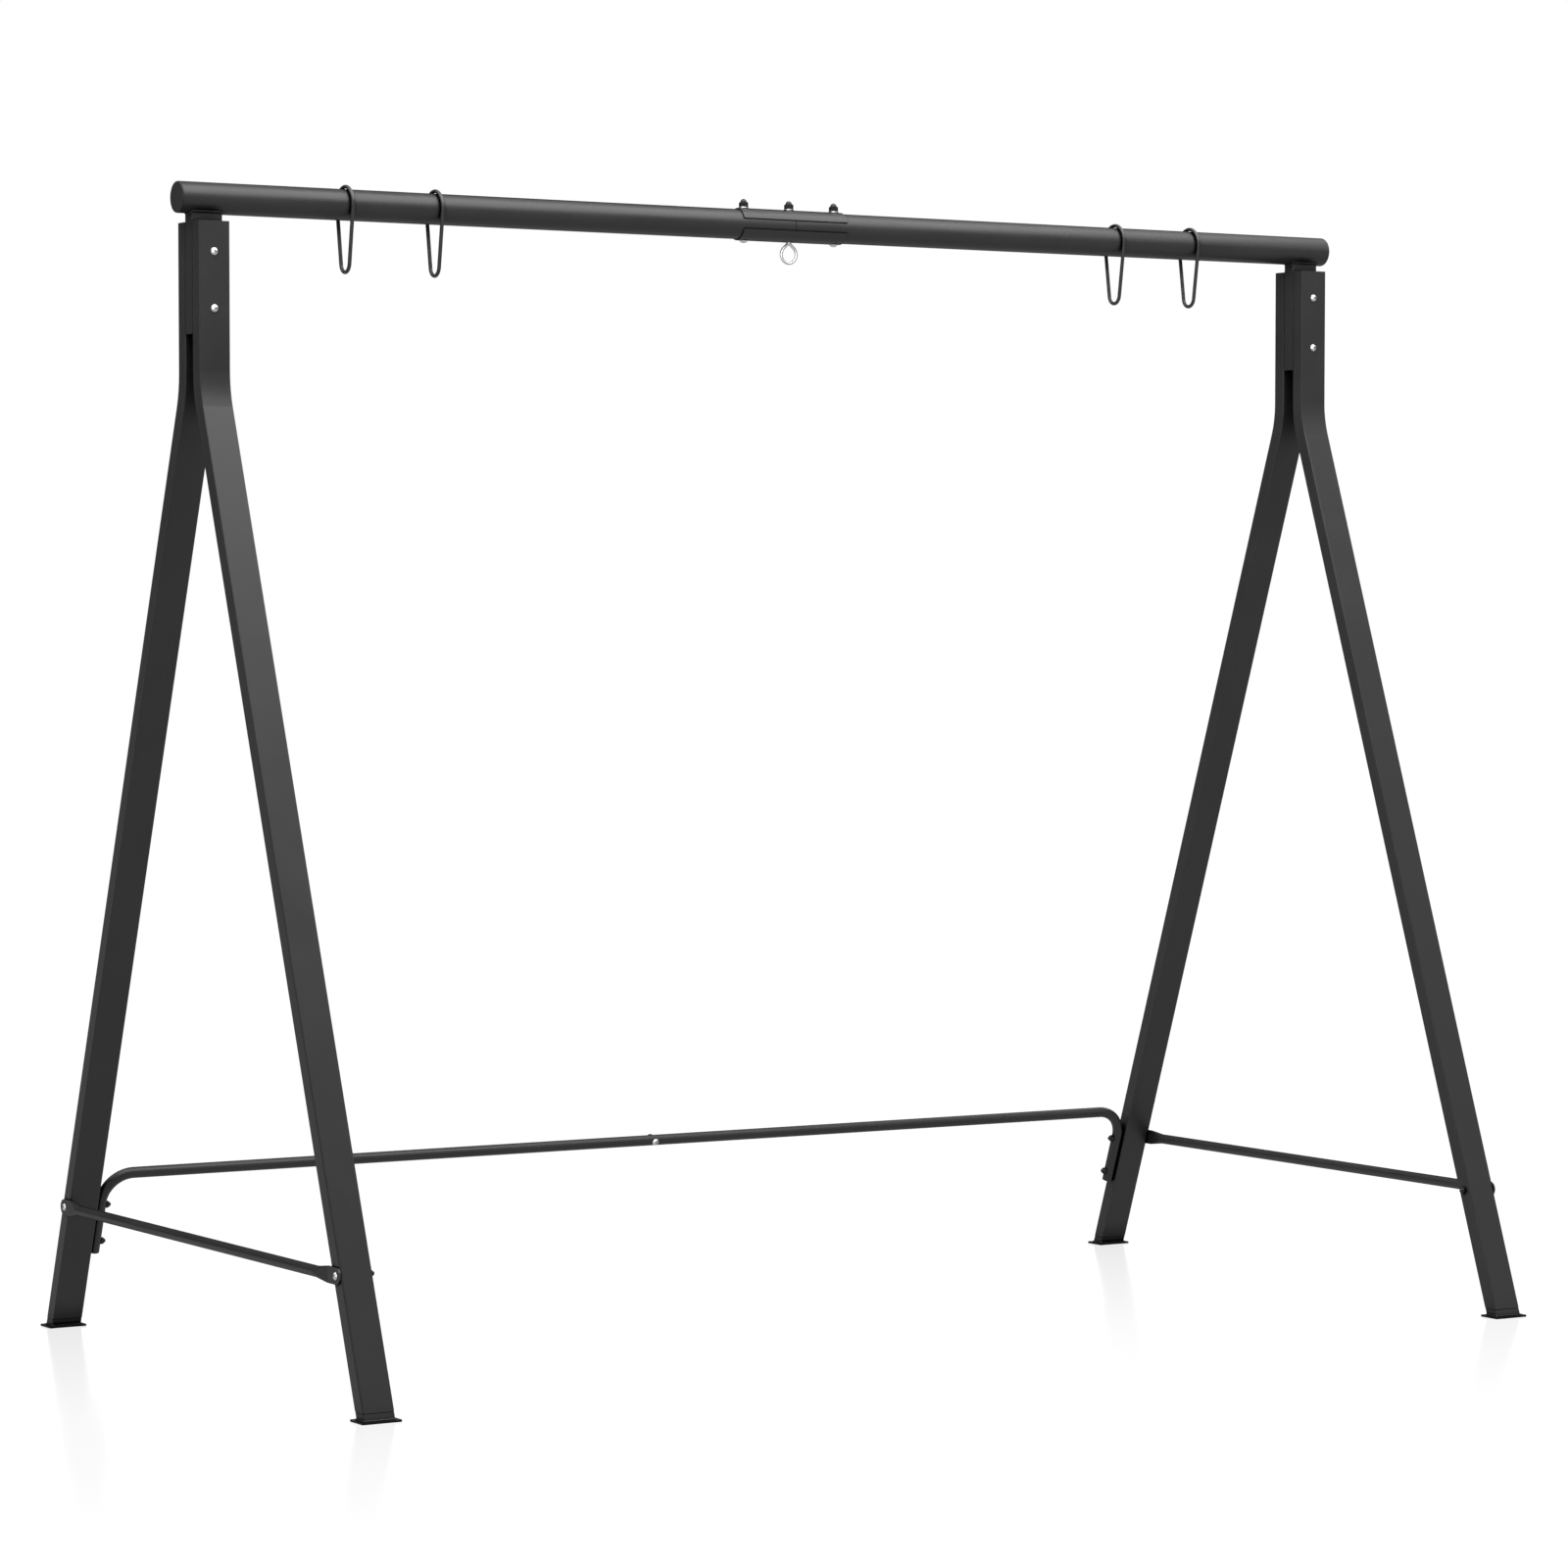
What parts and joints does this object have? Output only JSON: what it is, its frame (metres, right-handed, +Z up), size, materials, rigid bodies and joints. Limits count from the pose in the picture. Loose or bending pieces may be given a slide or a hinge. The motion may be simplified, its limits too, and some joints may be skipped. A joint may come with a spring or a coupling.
{
  "type": "a-frame swing stand",
  "caption": "Free-standing A-frame stand with a round top beam, splayed bent legs, low braces and wire hangers for a hanging swing seat",
  "frame": {"origin": "on the floor, midway between the four feet", "axes": "+X along the beam to the right as seen from the front, +Y to the rear (the side with the long brace), +Z up"},
  "size_m": [2.155, 1.1634, 1.8156],
  "materials": {
    "powder_black": "satin black powder coat",
    "black_hardware": "black coated steel",
    "bright_zinc": "bright zinc plate",
    "black_plastic": "matte black"
  },
  "bodies": {
    "frame": {"beam_tube_left": "powder_black", "beam_tube_right": "powder_black", "beam_end_cap_left": "black_plastic", "beam_end_cap_right": "black_plastic", "post_left": "powder_black", "post_right": "powder_black", "joint_shell_upper": "powder_black", "joint_shell_lower": "powder_black", "joint_bolts": "bright_zinc", "joint_washers": "bright_zinc", "joint_cap_nuts": "black_hardware", "eye_bolt": "bright_zinc", "leg_front_left": "powder_black", "leg_front_right": "powder_black", "leg_back_left": "powder_black", "leg_back_right": "powder_black", "foot_front_left": "powder_black", "foot_front_right": "powder_black", "foot_back_left": "powder_black", "foot_back_right": "powder_black", "leg_bolts": "bright_zinc", "leg_cap_nuts": "black_hardware", "side_brace_left": "powder_black", "side_brace_right": "powder_black", "rear_brace_left": "powder_black", "rear_brace_right": "powder_black", "rear_brace_bolt": "bright_zinc", "rear_brace_nut": "black_hardware", "front_brace_bolts": "bright_zinc", "front_brace_nuts": "black_hardware", "back_brace_bolts": "bright_zinc", "back_brace_nuts": "black_hardware", "brace_studs": "bright_zinc"},
    "hanger_1": {"hanger_1": "powder_black"},
    "hanger_2": {"hanger_2": "powder_black"},
    "hanger_3": {"hanger_3": "powder_black"},
    "hanger_4": {"hanger_4": "powder_black"}
  },
  "joints": [
    {"name": "hanger_1_swing", "type": "hinge", "parent": "frame", "child": "hanger_1", "pos_m": [-0.796, 0, 1.775], "axis": [1, 0, 0], "range_deg": [-90, 90]},
    {"name": "hanger_2_swing", "type": "hinge", "parent": "frame", "child": "hanger_2", "pos_m": [-0.642, 0, 1.775], "axis": [1, 0, 0], "range_deg": [-90, 90]},
    {"name": "hanger_3_swing", "type": "hinge", "parent": "frame", "child": "hanger_3", "pos_m": [0.642, 0, 1.775], "axis": [1, 0, 0], "range_deg": [-90, 90]},
    {"name": "hanger_4_swing", "type": "hinge", "parent": "frame", "child": "hanger_4", "pos_m": [0.796, 0, 1.775], "axis": [1, 0, 0], "range_deg": [-90, 90]}
  ]
}
